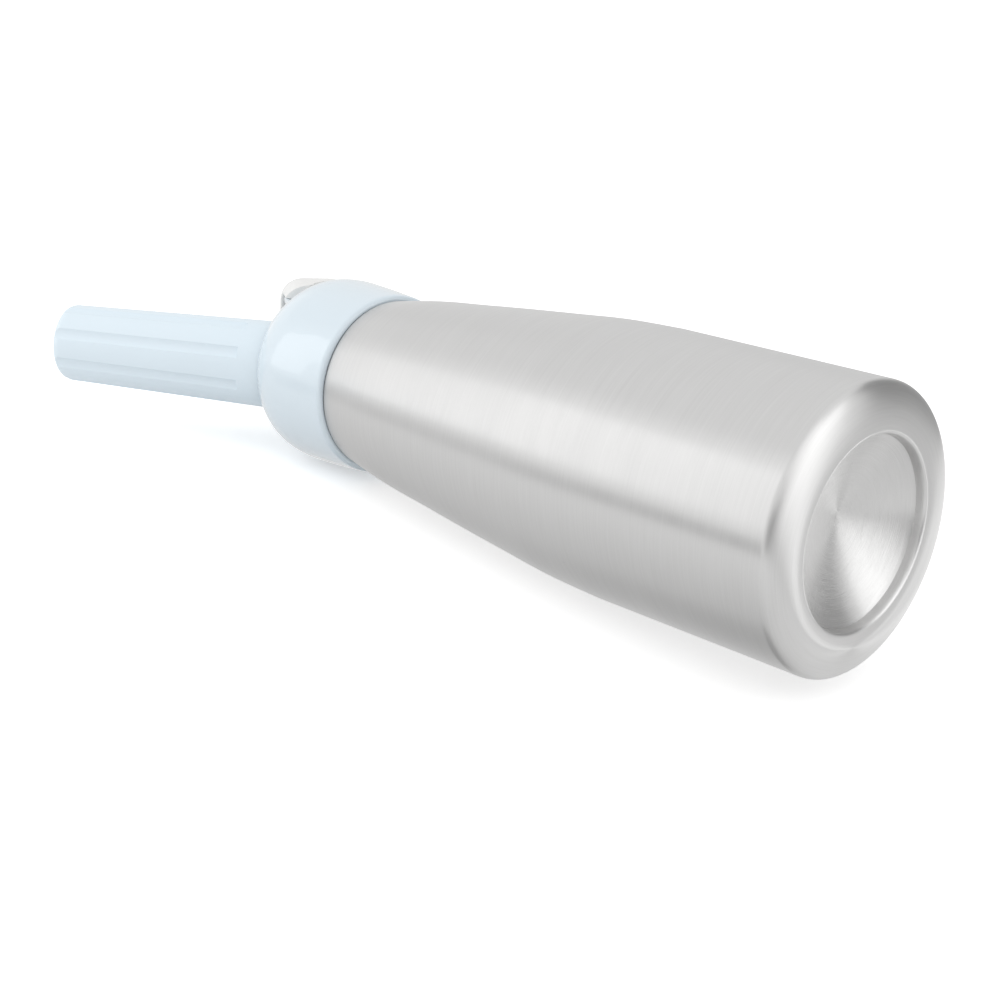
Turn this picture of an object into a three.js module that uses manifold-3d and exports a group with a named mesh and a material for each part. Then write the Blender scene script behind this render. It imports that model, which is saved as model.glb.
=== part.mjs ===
// A whipped cream dispenser lying on its side: a brushed metal bottle with a screwed-on plastic head.
// The head carries a charger holder on one side, and on the other a valve, a nozzle and a lever.
// Pieces are drawn upright, with the bottle's axis along Z from its base, and then laid down as one.
import * as THREE from 'three';
import { mergeVertices } from 'three/addons/utils/BufferGeometryUtils.js';
import Module from 'manifold-3d';

const wasm = await Module();
wasm.setup();

// Bottle
const baseRadius = 40;
const cornerWidth = 6.6;
const cornerHeight = 3.7;
const dishRadius = 26.5;
const dishStepDrop = 2.6;
const dishLedge = 0.6;
const dishLip = 1.7;
const dishLipHeight = 0.6;
const dishDepth = 10;
const straightHeight = 73;
const shoulderHeight = 186;
const shoulderRadius = 27.8;
const bottleWall = 1.5;
const neckRadius = 24.4;
const neckRise = 4;
const neckFillet = 1;
const neckFilletRise = 2.4;
const neckHeight = 18;
const neckLip = 0.6;

// Head
const rimClearance = 0.35;
const rimRoll = 1.3;
const skirtRadius = 30.1;
const skirtRise = 8.75;
const headRadius = 30.75;
const headHeight = 48.6;
const cavityRadius = 27.2;
const cavityLeadIn = 2.2;
const gasketThickness = 3;
const gasketWidth = 4.8;
const insertWall = 2.2;
const insertHeight = 12.8;
const fitGap = 0.3;

// Charger side
const crossingRise = 19.2;
const holderAngle = THREE.MathUtils.degToRad(31.4);
const holderEnd = 104.7;
const holderMouth = 20.6;
const holderMouthRadius = 14.85;
const holderEndRadius = 13;
const holderEndRound = 3.4;
const holderFlare = 0.5;
const holderFlareLength = 9;
const fluteCount = 8;
const fluteRadius = 3.4;
const fluteDepth = 0.75;
const fluteStart = 43;
const fluteTurn = THREE.MathUtils.degToRad(17);
const chargerRadius = 9;
const chargerLength = 65;
const chargerSlack = 0.45;
const pocketFloor = 17;
const pocketGap = 0.5;
const studFlangeRadius = 14;
const studFlange = 2.7;
const studRadius = 10.6;
const studLength = 18.7;
const studCupRadius = 5.2;
const studCupDepth = 8;
const sleeveWall = 1.2;
const sleeveLength = 17;
const pinRadius = 1.3;
const pinLength = 11.5;
const pinPoint = 2.4;
const pinSealThickness = 1.7;
const checkRadius = 3.7;
const checkThickness = 2.4;
const checkRoom = 4.7;
const gasHoleRadius = 1.2;
const gasHoleOffset = 8.2;

// Valve side
const valveAngle = THREE.MathUtils.degToRad(31.4);
const armRadius = 10.4;
const armEnd = 46;
const valveBodyRadius = 6;
const valveBodyBore = 3.7;
const valveBodyStart = 1;
const valveRoomDepth = 10;
const valveFlangeRadius = 8.4;
const valveFlange = 2.5;
const sealRingSection = 1.1;
const sealRingPlace = 30;
const stemRingPlace = 42;
const stemRingSection = 0.7;
const stemRadius = 3.4;
const stemWaist = 2.5;
const stemBore = 1.8;
const stemTop = 57;
const waistEnd = 10;
const inletPlace = 5;
const inletRadius = 1.1;
const crossHoleRadius = 0.9;
const poppetRadius = 6.6;
const poppetThickness = 2.2;
const washerThickness = 2.4;
const adaptorRadius = 6.4;
const adaptorStart = 52.4;
const adaptorTop = 82;
const collarRadius = 8.6;
const collarThickness = 2.8;
const collarTop = 61.2;
const tipStart = 71;
const tipGripLength = 9;
const tipGripRadius = 9.5;
const tipGripRibs = 12;
const tipGripRibRadius = 1.1;
const tipLength = 45;
const tipNeckRadius = 8.2;
const tipWaistRadius = 7.7;
const tipEndRadius = 5.6;
const tipWall = 1.3;
const tipSealThickness = 1.2;
const tipSealRoom = 2;
const starCount = 8;
const starSlotWidth = 1.5;
const starSlotLength = 8;

// Lever
const pivotAcross = 12.5;
const pivotAlong = 56;
const pivotPinRadius = 2;
const pivotPinHalf = 18.3;
const earInner = 12.5;
const earThickness = 4.1;
const earRound = 5;
const earRootAcross = -2;
const earRootAlong = 27;
const leverHalfWidth = 20;
const leverSkirt = 2.8;
const leverKnuckle = 5.5;
const yokeThickness = 3;
const yokeGap = 2.8;
const yokeHole = 9;
const yokeCorner = 8;
const yokeOuterReach = 15;
const padWidth = 1;
const padInner = 7.3;
const padOuter = 10.6;
const handleHalfWidth = 12;
const handleThickness = 3;
const handleRibDepth = 3.2;
const handleRibWidth = 2.4;
const handleReach = 62;
const handleTipDrop = 36;
const handleEndRound = 8;
const springWire = 0.45;
const springTurns = 6;
const springPitch = 1.6;

// Shared
const overrun = 40;
const fineSides = 48;
const holderSides = 48;
const midSides = 24;
const smallSides = 14;
const curveSteps = 9;
const arcSteps = 4;
const coilSteps = 12;
const wireSteps = 3;

// How close two points lie before they count as one, as a share of the base radius.
const weldShare = 1e-6;
// How sharply the dish turns down from its middle.
const dishCurveShare = 1.1;
// Where the decorating tip starts to narrow, as a share of its length beyond the grip.
const tipWaistShare = 0.45;
// Share of the fall from base radius to shoulder radius, at equal steps up the taper.
const taperShares = [0, 0.07, 0.225, 0.385, 0.56, 0.735, 1];
// Height share and radius share of the head's rounded top, from the skirt to the crown.
const crownShares = [
  [0.35, 0.995], [0.51, 1], [0.64, 0.965], [0.76, 0.865], [0.88, 0.7], [0.96, 0.44], [1, 0],
];
// Places down the lever's handle: share of its fall, and share of its outward reach.
const handleShares = [[0, 0.8], [0.1, 0.88], [0.3, 0.955], [0.65, 0.975], [1, 1]];

const crossing = new THREE.Vector3(0, 0, shoulderHeight + crossingRise);
const axisY = new THREE.Vector3(0, 1, 0);
const neckTop = shoulderHeight + neckHeight;
const handleTipHeight = shoulderHeight - handleTipDrop;
const cavityTop = neckTop + fitGap + gasketThickness + fitGap;
const valveBodyEnd = armEnd + fitGap + valveFlange;
const yokeBottom = collarTop + yokeGap;

function tilted(angle) {
  const turn = new THREE.Quaternion().setFromAxisAngle(axisY, angle);
  return new THREE.Matrix4().compose(crossing, turn, new THREE.Vector3(1, 1, 1));
}

const holderPlace = tilted(holderAngle);
const valvePlace = tilted(-valveAngle);

function solid(geometry, matrix) {
  const plain = geometry.clone();
  if (matrix) plain.applyMatrix4(matrix);
  plain.deleteAttribute('normal');
  plain.deleteAttribute('uv');
  const merged = mergeVertices(plain, baseRadius * weldShare);
  const vertProperties = new Float32Array(merged.attributes.position.array);
  const triVerts = new Uint32Array(merged.index.array);
  return new wasm.Manifold(new wasm.Mesh({ numProp: 3, vertProperties, triVerts }));
}

function geometryOf(body) {
  const mesh = body.getMesh();
  const geometry = new THREE.BufferGeometry();
  geometry.setAttribute('position', new THREE.BufferAttribute(new Float32Array(mesh.vertProperties), 3));
  geometry.setIndex(new THREE.BufferAttribute(new Uint32Array(mesh.triVerts), 1));
  return geometry;
}

// A closed outline of [radius, height] points, turned about Z, with its faces pointing out.
function turned(outline, sides) {
  const points = outline.map(([radius, height]) => new THREE.Vector2(radius, height));
  if (THREE.ShapeUtils.isClockWise(points)) points.reverse();
  return new THREE.LatheGeometry(points, sides).rotateX(Math.PI / 2);
}

function turnedSolid(outline, sides, matrix) {
  return solid(turned(outline, sides), matrix);
}

function rod(radius, from, to, sides, matrix) {
  return turnedSolid([[0, from], [radius, from], [radius, to], [0, to]], sides, matrix);
}

function ring(inner, outer, from, to, sides) {
  return turnedSolid([[inner, from], [outer, from], [outer, to], [inner, to], [inner, from]], sides);
}

// A plate whose outline lies in the plane of the arms, as thick as it is wide across that plane.
function sidePlate(shape, from, to, matrix) {
  const plate = new THREE.ExtrudeGeometry(shape, {
    depth: to - from, bevelEnabled: false, curveSegments: arcSteps,
  });
  plate.rotateX(Math.PI / 2).translate(0, to, 0);
  return solid(plate, matrix);
}

function crossRod(radius, across, along, halfLength, matrix) {
  const bar = new THREE.CylinderGeometry(radius, radius, 2 * halfLength, smallSides);
  return solid(bar.translate(across, 0, along), matrix);
}

function block(low, high, matrix) {
  const size = [0, 1, 2].map((k) => high[k] - low[k]);
  const box = new THREE.BoxGeometry(...size);
  box.translate(low[0] + size[0] / 2, low[1] + size[1] / 2, low[2] + size[2] / 2);
  return solid(box, matrix);
}

function taperPoint(share) {
  const curve = new THREE.SplineCurve(taperShares.map((fall, k) => new THREE.Vector2(
    k / (taperShares.length - 1), baseRadius - fall * (baseRadius - shoulderRadius))));
  return curve.getPoint(share);
}

function bottleWallLine() {
  const line = [];
  for (let k = 0; k <= arcSteps; k += 1) {
    const turn = (k / arcSteps) * (Math.PI / 2);
    line.push([
      baseRadius - cornerWidth * (1 - Math.sin(turn)),
      cornerHeight * (1 - Math.cos(turn)),
    ]);
  }
  for (let k = 0; k <= curveSteps; k += 1) {
    const place = taperPoint(k / curveSteps);
    line.push([place.y, straightHeight + place.x * (shoulderHeight - straightHeight)]);
  }
  line.push([neckRadius + neckFillet, shoulderHeight + neckFilletRise]);
  line.push([neckRadius, shoulderHeight + neckRise]);
  line.push([neckRadius, neckTop - neckLip]);
  line.push([neckRadius - neckLip, neckTop]);
  return line;
}

function dishLine() {
  const line = [];
  const steps = arcSteps * 2;
  for (let k = 0; k <= steps; k += 1) {
    const turn = (k / steps) * (Math.PI / 2);
    line.push([
      (dishRadius - dishLedge) * Math.sin(turn),
      dishStepDrop + (dishDepth - dishStepDrop) * Math.cos(turn) ** dishCurveShare,
    ]);
  }
  line.push([dishRadius, dishLipHeight]);
  return line;
}

function bottle() {
  const wall = bottleWallLine();
  const dish = dishLine();
  const foot = [dishRadius + dishLip, 0];
  const outside = [...dish, foot, ...wall];
  const inside = wall.slice(arcSteps + 1).map(([radius, height]) => [radius - bottleWall, height]);
  const insideFoot = [
    [baseRadius - bottleWall, cornerHeight + bottleWall],
    [baseRadius - cornerWidth, bottleWall],
    [dishRadius + dishLip, bottleWall],
    [dishRadius + dishLip, dishStepDrop + bottleWall],
  ];
  const insideDish = dish.slice(0, -1).map(([radius, height]) => [radius, height + bottleWall]);
  return turnedSolid([
    ...outside, ...inside.reverse(), ...insideFoot, ...insideDish.reverse(),
  ], fineSides);
}

function headOutline() {
  const rimRadius = shoulderRadius + rimClearance;
  const line = [[0, 0], [rimRadius, 0]];
  for (let k = 1; k <= arcSteps; k += 1) {
    const turn = (k / arcSteps) * (Math.PI / 2);
    line.push([rimRadius + rimRoll * Math.sin(turn), rimRoll * (1 - Math.cos(turn))]);
  }
  const crown = [
    new THREE.Vector2(rimRadius + rimRoll, rimRoll),
    new THREE.Vector2(skirtRadius, skirtRise),
    ...crownShares.map(([height, radius]) => new THREE.Vector2(radius * headRadius, height * headHeight)),
  ];
  const points = new THREE.SplineCurve(crown).getPoints(curveSteps + arcSteps);
  points.slice(1).forEach((point) => line.push([Math.max(point.x, 0), Math.min(point.y, headHeight)]));
  line[line.length - 1][0] = 0;
  return line.map(([radius, height]) => [radius, shoulderHeight + height]);
}

function neckRoom() {
  const rimRadius = shoulderRadius + rimClearance;
  return turnedSolid([
    [0, shoulderHeight - overrun],
    [rimRadius, shoulderHeight - overrun],
    [rimRadius, shoulderHeight],
    [cavityRadius, shoulderHeight + cavityLeadIn],
    [cavityRadius, cavityTop],
    [0, cavityTop],
  ], fineSides);
}

function earShape() {
  const shape = new THREE.Shape();
  shape.moveTo(earRootAcross, earRootAlong);
  shape.lineTo(pivotAcross - earRound, pivotAlong);
  shape.absarc(pivotAcross, pivotAlong, earRound, Math.PI, 0, true);
  shape.lineTo(pivotAcross + earRound, earRootAlong);
  shape.closePath();
  return shape;
}

function headShell() {
  let shell = turnedSolid(headOutline(), fineSides);
  shell = shell.add(rod(armRadius, 0, armEnd, midSides, valvePlace));
  [-earInner - earThickness, earInner].forEach((side) => {
    shell = shell.add(sidePlate(earShape(), side, side + earThickness, valvePlace));
  });
  const pocketRadius = holderMouthRadius + holderFlare + pocketGap;
  const cuts = [
    neckRoom(),
    rod(pocketRadius, pocketFloor, holderEnd, holderSides, holderPlace),
    rod(checkRadius + fitGap, pocketFloor - checkRoom, holderEnd, smallSides, holderPlace),
    rod(valveBodyRadius + fitGap, -valveRoomDepth, armEnd + overrun, midSides, valvePlace),
    crossRod(pivotPinRadius + fitGap, pivotAcross, pivotAlong, leverHalfWidth, valvePlace),
    gasHole(),
  ];
  cuts.forEach((cut) => {
    shell = shell.subtract(cut);
  });
  return shell;
}

function gasHole() {
  const top = cavityTop + (pocketFloor - checkRoom) * Math.cos(holderAngle);
  const bottom = cavityTop - gasketThickness;
  const hole = turned([[0, bottom], [gasHoleRadius, bottom], [gasHoleRadius, top], [0, top]], smallSides);
  return solid(hole.translate(gasHoleOffset, 0, 0));
}

function chargerStud() {
  const start = pocketFloor + fitGap;
  const flangeTop = start + studFlange;
  const top = start + studLength;
  const floor = top - studCupDepth;
  const hole = pinRadius + fitGap;
  return turnedSolid([
    [hole, start], [studFlangeRadius, start], [studFlangeRadius, flangeTop], [studRadius, flangeTop],
    [studRadius, top], [studCupRadius, top], [studCupRadius, floor], [hole, floor], [hole, start],
  ], midSides);
}

function piercingPin() {
  const top = pocketFloor + fitGap + studLength - studCupDepth + pinSealThickness + pinPoint + fitGap;
  const start = top - pinLength;
  return turnedSolid([
    [0, start], [pinRadius, start], [pinRadius, top - pinPoint], [0, top],
  ], smallSides);
}

function pinSeal() {
  const floor = pocketFloor + fitGap + studLength - studCupDepth + fitGap;
  return ring(pinRadius + fitGap, studCupRadius - fitGap, floor, floor + pinSealThickness, smallSides);
}

function checkValve() {
  const top = pocketFloor;
  return rod(checkRadius, top - checkThickness, top, smallSides);
}

function chargerSeat() {
  return pocketFloor + fitGap + studLength - studCupDepth + fitGap + pinSealThickness + fitGap;
}

function holderOutline() {
  const slope = (holderMouthRadius - holderEndRadius) / (holderEnd - holderMouth);
  const shoulder = holderEnd - holderEndRound;
  const shoulderR = holderMouthRadius - slope * (shoulder - holderMouth);
  const line = [[0, holderMouth], [holderMouthRadius + holderFlare, holderMouth]];
  const flareSteps = arcSteps / 2;
  for (let k = 1; k <= flareSteps; k += 1) {
    const share = k / flareSteps;
    const place = holderMouth + holderFlareLength * share;
    const radius = holderMouthRadius - slope * (place - holderMouth);
    line.push([radius + holderFlare * (1 - share) ** 2, place]);
  }
  for (let k = 0; k <= arcSteps; k += 1) {
    const turn = (k / arcSteps) * (Math.PI / 2);
    line.push([
      shoulderR - holderEndRound * (1 - Math.cos(turn)),
      shoulder + holderEndRound * Math.sin(turn),
    ]);
  }
  line.push([0, holderEnd]);
  return line;
}

function flute(turn) {
  const slope = (holderMouthRadius - holderEndRadius) / (holderEnd - holderMouth);
  const startR = holderMouthRadius - slope * (fluteStart - holderMouth);
  const lean = Math.atan(slope);
  const length = holderEnd - fluteStart + overrun;
  const cutter = new THREE.CylinderGeometry(fluteRadius, fluteRadius, length, smallSides);
  cutter.rotateX(Math.PI / 2).translate(0, 0, length / 2);
  cutter.rotateY(-lean);
  cutter.translate(startR - fluteDepth + fluteRadius, 0, fluteStart);
  cutter.rotateZ(turn);
  return solid(cutter);
}

function chargerHolder() {
  const threadRadius = studRadius + fitGap + sleeveWall + fitGap;
  const threadEnd = holderMouth + sleeveLength + fitGap;
  const bore = chargerRadius + chargerSlack;
  const boreEnd = chargerSeat() + chargerLength + chargerSlack;
  const roundStart = boreEnd - bore / 2;
  const room = [
    [0, holderMouth - overrun], [threadRadius, holderMouth - overrun], [threadRadius, threadEnd],
    [bore, threadEnd], [bore, roundStart],
  ];
  for (let k = 1; k <= arcSteps; k += 1) {
    const turn = (k / arcSteps) * (Math.PI / 2);
    room.push([bore * Math.cos(turn), roundStart + (boreEnd - roundStart) * Math.sin(turn)]);
  }
  room[room.length - 1][0] = 0;
  let holder = turnedSolid(holderOutline(), holderSides);
  holder = holder.subtract(turnedSolid(room, midSides));
  for (let k = 0; k < fluteCount; k += 1) {
    holder = holder.subtract(flute(fluteTurn + (k / fluteCount) * 2 * Math.PI));
  }
  return holder;
}

function holderSleeve() {
  const inner = studRadius + fitGap;
  return ring(inner, inner + sleeveWall, holderMouth, holderMouth + sleeveLength, midSides);
}

function valveBody() {
  const flangeStart = armEnd + fitGap;
  const groove = sealRingPlace;
  const grooveR = valveBodyRadius - sealRingSection;
  const grooveHalf = sealRingSection / 2 + fitGap;
  return turnedSolid([
    [valveBodyBore, valveBodyStart], [valveBodyRadius, valveBodyStart],
    [valveBodyRadius, groove - grooveHalf], [grooveR, groove - grooveHalf],
    [grooveR, groove + grooveHalf], [valveBodyRadius, groove + grooveHalf],
    [valveBodyRadius, flangeStart], [valveFlangeRadius, flangeStart],
    [valveFlangeRadius, valveBodyEnd], [valveBodyBore, valveBodyEnd], [valveBodyBore, valveBodyStart],
  ], midSides);
}

function valveBodyRing() {
  const inner = valveBodyRadius - sealRingSection + fitGap / 2;
  const half = sealRingSection / 2;
  return ring(inner, valveBodyRadius + fitGap / 2, sealRingPlace - half, sealRingPlace + half, midSides);
}

function valveStem() {
  const seat = valveBodyStart - fitGap - washerThickness - fitGap;
  const grooveHalf = stemRingSection / 2 + fitGap;
  const grooveR = stemRadius - stemRingSection;
  const body = turnedSolid([
    [0, seat - poppetThickness], [poppetRadius, seat - poppetThickness], [poppetRadius, seat],
    [stemWaist, seat], [stemWaist, waistEnd], [stemRadius, waistEnd],
    [stemRadius, stemRingPlace - grooveHalf], [grooveR, stemRingPlace - grooveHalf],
    [grooveR, stemRingPlace + grooveHalf], [stemRadius, stemRingPlace + grooveHalf], [stemRadius, stemTop],
    [stemBore, stemTop], [stemBore, waistEnd], [inletRadius, waistEnd - stemBore],
    [inletRadius, inletPlace], [0, inletPlace],
  ], smallSides);
  return body.subtract(inlet());
}

function stemRing() {
  const inner = stemRadius - stemRingSection + fitGap / 2;
  const half = stemRingSection / 2;
  return ring(inner, valveBodyBore - fitGap / 2, stemRingPlace - half, stemRingPlace + half, midSides);
}

function inlet() {
  return crossRod(crossHoleRadius, 0, inletPlace + inletRadius, poppetRadius);
}

function valveWasher() {
  const top = valveBodyStart - fitGap;
  return ring(stemWaist + fitGap, poppetRadius - fitGap, top - washerThickness, top, midSides);
}

function nozzleAdaptor() {
  const inner = stemRadius + fitGap;
  const collarStart = collarTop - collarThickness;
  const step = stemTop + fitGap;
  const bore = stemBore + fitGap;
  return turnedSolid([
    [inner, adaptorStart], [adaptorRadius, adaptorStart], [adaptorRadius, collarStart],
    [collarRadius, collarStart], [collarRadius, collarTop], [adaptorRadius, collarTop],
    [adaptorRadius, adaptorTop], [bore, adaptorTop], [bore, step], [inner, step], [inner, adaptorStart],
  ], midSides);
}

function decoratingTip() {
  const socket = adaptorRadius + fitGap;
  const socketEnd = adaptorTop + tipSealRoom;
  const gripEnd = tipStart + tipGripLength;
  const end = tipStart + tipLength;
  const middle = gripEnd + (end - gripEnd) * tipWaistShare;
  let tip = turnedSolid([
    [socket, tipStart], [tipGripRadius, tipStart], [tipGripRadius, gripEnd],
    [tipNeckRadius, gripEnd + tipWall], [tipWaistRadius, middle], [tipEndRadius, end],
    [tipEndRadius - tipWall, end], [tipWaistRadius - tipWall, middle],
    [socket, socketEnd], [socket, tipStart],
  ], midSides);
  for (let k = 0; k < tipGripRibs; k += 1) {
    const turn = (k / tipGripRibs) * 2 * Math.PI;
    const rib = new THREE.CylinderGeometry(
      tipGripRibRadius, tipGripRibRadius, tipGripLength, smallSides / 2);
    rib.rotateX(Math.PI / 2).translate(tipGripRadius, 0, tipStart + tipGripLength / 2);
    rib.rotateZ(turn);
    tip = tip.add(solid(rib));
  }
  for (let k = 0; k < starCount / 2; k += 1) {
    const slot = new THREE.BoxGeometry(overrun, starSlotWidth, starSlotLength);
    slot.translate(0, 0, end).rotateZ((k / starCount) * 2 * Math.PI);
    tip = tip.subtract(solid(slot));
  }
  return tip;
}

function tipSeal() {
  const start = adaptorTop + fitGap;
  return ring(stemBore + fitGap, adaptorRadius - fitGap, start, start + tipSealThickness, midSides);
}

function pivotPin() {
  const bar = new THREE.CylinderGeometry(pivotPinRadius, pivotPinRadius, 2 * pivotPinHalf, smallSides);
  return solid(bar.translate(pivotAcross, 0, pivotAlong));
}

function gasket() {
  const outer = neckRadius - fitGap;
  const start = neckTop + fitGap;
  return ring(outer - gasketWidth, outer, start, start + gasketThickness, fineSides);
}

function threadInsert() {
  const inner = neckRadius + fitGap;
  const top = neckTop - neckLip;
  return ring(inner, inner + insertWall, top - insertHeight, top, fineSides);
}

// The yoke seen along the nozzle: a plate with rounded inner corners that narrows to the handle.
function yokeShape() {
  const shape = new THREE.Shape();
  const inner = pivotAcross + leverKnuckle;
  const wide = leverHalfWidth;
  shape.moveTo(-yokeOuterReach, -handleHalfWidth);
  shape.quadraticCurveTo(-yokeOuterReach / 2, -wide, yokeCorner - yokeOuterReach / 2, -wide);
  shape.lineTo(inner - yokeCorner, -wide);
  shape.absarc(inner - yokeCorner, yokeCorner - wide, yokeCorner, -Math.PI / 2, 0, false);
  shape.lineTo(inner, wide - yokeCorner);
  shape.absarc(inner - yokeCorner, wide - yokeCorner, yokeCorner, 0, Math.PI / 2, false);
  shape.lineTo(yokeCorner - yokeOuterReach / 2, wide);
  shape.quadraticCurveTo(-yokeOuterReach / 2, wide, -yokeOuterReach, handleHalfWidth);
  shape.closePath();
  return shape;
}

function skirtShape() {
  const shape = new THREE.Shape();
  shape.moveTo(-leverKnuckle / 2, yokeBottom + yokeThickness / 2);
  shape.lineTo(pivotAcross - leverKnuckle, pivotAlong);
  shape.absarc(pivotAcross, pivotAlong, leverKnuckle, -Math.PI, 0, false);
  shape.lineTo(pivotAcross + leverKnuckle, yokeBottom + yokeThickness / 2);
  shape.closePath();
  return shape;
}

function handleLine() {
  const start = new THREE.Vector3(-yokeOuterReach, 0, yokeBottom + yokeThickness / 2);
  start.applyMatrix4(valvePlace);
  const fall = start.z - handleTipHeight;
  const points = handleShares.map(([down, out]) => new THREE.Vector2(
    -out * handleReach, start.z - down * fall));
  points[0].set(start.x, start.z);
  return new THREE.SplineCurve(points).getPoints(curveSteps);
}

function bandShape(line, inward, outward) {
  const inner = [];
  const outer = [];
  line.forEach((point, k) => {
    const before = line[Math.max(k - 1, 0)];
    const after = line[Math.min(k + 1, line.length - 1)];
    const along = after.clone().sub(before).normalize();
    const side = new THREE.Vector2(-along.y, along.x);
    inner.push(point.clone().addScaledVector(side, inward));
    outer.push(point.clone().addScaledVector(side, -outward));
  });
  return new THREE.Shape([...inner, ...outer.reverse()]);
}

function lever() {
  const plate = new THREE.ExtrudeGeometry(yokeShape(), {
    depth: yokeThickness, bevelEnabled: false, curveSegments: arcSteps,
  }).translate(0, 0, yokeBottom);
  let body = solid(plate, valvePlace);
  const headRoom = new THREE.ExtrudeGeometry(yokeShape(), {
    depth: yokeBottom + yokeThickness - pivotAlong + leverKnuckle,
    bevelEnabled: false,
    curveSegments: arcSteps,
  }).translate(0, 0, pivotAlong - leverKnuckle);
  const withinHead = solid(headRoom, valvePlace);
  [-leverHalfWidth, leverHalfWidth - leverSkirt].forEach((side) => {
    const skirt = sidePlate(skirtShape(), side, side + leverSkirt, valvePlace);
    body = body.add(skirt.intersect(withinHead));
  });
  const line = handleLine();
  const half = handleThickness / 2;
  body = body.add(sidePlate(bandShape(line, half, half), -handleHalfWidth, handleHalfWidth));
  [-handleHalfWidth, handleHalfWidth - handleRibWidth].forEach((side) => {
    body = body.add(sidePlate(bandShape(line, half + handleRibDepth, half), side, side + handleRibWidth));
  });
  body = body.subtract(rod(yokeHole, pivotAlong, yokeBottom + overrun, midSides, valvePlace));
  [-padOuter, padInner].forEach((side) => {
    const low = [-padWidth, side, collarTop + fitGap];
    const high = [padWidth, side + padOuter - padInner, yokeBottom + yokeThickness / 2];
    body = body.add(block(low, high, valvePlace));
  });
  const hole = pivotPinRadius + fitGap;
  body = body.subtract(crossRod(hole, pivotAcross, pivotAlong, leverHalfWidth + overrun, valvePlace));
  return body.subtract(handleEndCorners());
}

// What rounds the free end of the handle, seen from outside.
function handleEndCorners() {
  const shape = new THREE.Shape();
  const wide = handleHalfWidth + overrun;
  const flat = handleHalfWidth - handleEndRound;
  const roundStart = handleTipHeight + handleEndRound;
  shape.moveTo(-wide, roundStart);
  shape.lineTo(-handleHalfWidth, roundStart);
  shape.absarc(-flat, roundStart, handleEndRound, Math.PI, 1.5 * Math.PI, false);
  shape.lineTo(flat, handleTipHeight);
  shape.absarc(flat, roundStart, handleEndRound, -Math.PI / 2, 0, false);
  shape.lineTo(wide, roundStart);
  shape.lineTo(wide, handleTipHeight - overrun);
  shape.lineTo(-wide, handleTipHeight - overrun);
  shape.closePath();
  const cut = new THREE.ExtrudeGeometry(shape, {
    depth: overrun, bevelEnabled: false, curveSegments: arcSteps,
  });
  const turn = new THREE.Matrix4().makeBasis(
    new THREE.Vector3(0, 1, 0), new THREE.Vector3(0, 0, 1), new THREE.Vector3(1, 0, 0));
  cut.applyMatrix4(turn).translate(-handleReach - overrun / 2, 0, 0);
  return solid(cut);
}

const springRadius = pivotPinRadius + fitGap + springWire;
const coilLength = springTurns * 2 * Math.PI * springRadius;
const springLeg = yokeBottom - pivotAlong - 2 * fitGap;

// The coil turns about the pivot pin, and its last stretch stands straight up under the yoke.
class SpringLine extends THREE.Curve {
  getPoint(share) {
    const run = share * (coilLength + springLeg);
    const wound = Math.min(run / coilLength, 1);
    const turn = wound * springTurns * 2 * Math.PI;
    return new THREE.Vector3(
      pivotAcross + springRadius * Math.cos(turn),
      (wound - 1 / 2) * springTurns * springPitch,
      pivotAlong + springRadius * Math.sin(turn) + Math.max(run - coilLength, 0),
    );
  }
}

function leverSpring() {
  const wire = new THREE.Shape();
  wire.absarc(0, 0, springWire, 0, 2 * Math.PI, false);
  return solid(new THREE.ExtrudeGeometry(wire, {
    extrudePath: new SpringLine(),
    steps: springTurns * coilSteps,
    bevelEnabled: false,
    curveSegments: wireSteps,
  }));
}

const paleBlue = new THREE.Color('#d6e2ea');
const brushedSteel = new THREE.Color('#c4c4c6');
const polishedSteel = new THREE.Color('#b8babd');
const offWhite = new THREE.Color('#efefec');
const greyRubber = new THREE.Color('#5c6064');

function material(color, roughness, metalness) {
  return new THREE.MeshStandardMaterial({ color, roughness, metalness });
}

function addPiece(group, name, body, look) {
  const mesh = new THREE.Mesh(geometryOf(body), look());
  mesh.name = name;
  group.add(mesh);
}

const plastic = () => material(paleBlue, 0.25, 0);
const steel = () => material(brushedSteel, 0.35, 1);
const bright = () => material(polishedSteel, 0.2, 1);
const white = () => material(offWhite, 0.35, 0);
const rubber = () => material(greyRubber, 0.8, 0);

const upright = new THREE.Group();
addPiece(upright, 'bottle', bottle(), steel);
addPiece(upright, 'head_shell', headShell(), plastic);
addPiece(upright, 'thread_insert', threadInsert(), bright);
addPiece(upright, 'head_gasket', gasket(), rubber);
addPiece(upright, 'lever', lever(), white);

const holderSide = new THREE.Group();
holderSide.applyMatrix4(holderPlace);
addPiece(holderSide, 'charger_stud', chargerStud(), bright);
addPiece(holderSide, 'piercing_pin', piercingPin(), bright);
addPiece(holderSide, 'pin_seal', pinSeal(), rubber);
addPiece(holderSide, 'one_way_valve', checkValve(), rubber);
addPiece(holderSide, 'charger_holder', chargerHolder(), plastic);
addPiece(holderSide, 'holder_sleeve', holderSleeve(), bright);

const valveSide = new THREE.Group();
valveSide.applyMatrix4(valvePlace);
addPiece(valveSide, 'valve_body', valveBody(), bright);
addPiece(valveSide, 'valve_body_ring', valveBodyRing(), rubber);
addPiece(valveSide, 'valve_stem', valveStem(), bright);
addPiece(valveSide, 'valve_washer', valveWasher(), rubber);
addPiece(valveSide, 'stem_ring', stemRing(), rubber);
addPiece(valveSide, 'nozzle_adaptor', nozzleAdaptor(), bright);
addPiece(valveSide, 'tip_seal', tipSeal(), rubber);
addPiece(valveSide, 'decorating_tip', decoratingTip(), white);
addPiece(valveSide, 'pivot_pin', pivotPin(), bright);
addPiece(valveSide, 'lever_spring', leverSpring(), bright);

upright.add(holderSide, valveSide);

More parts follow.
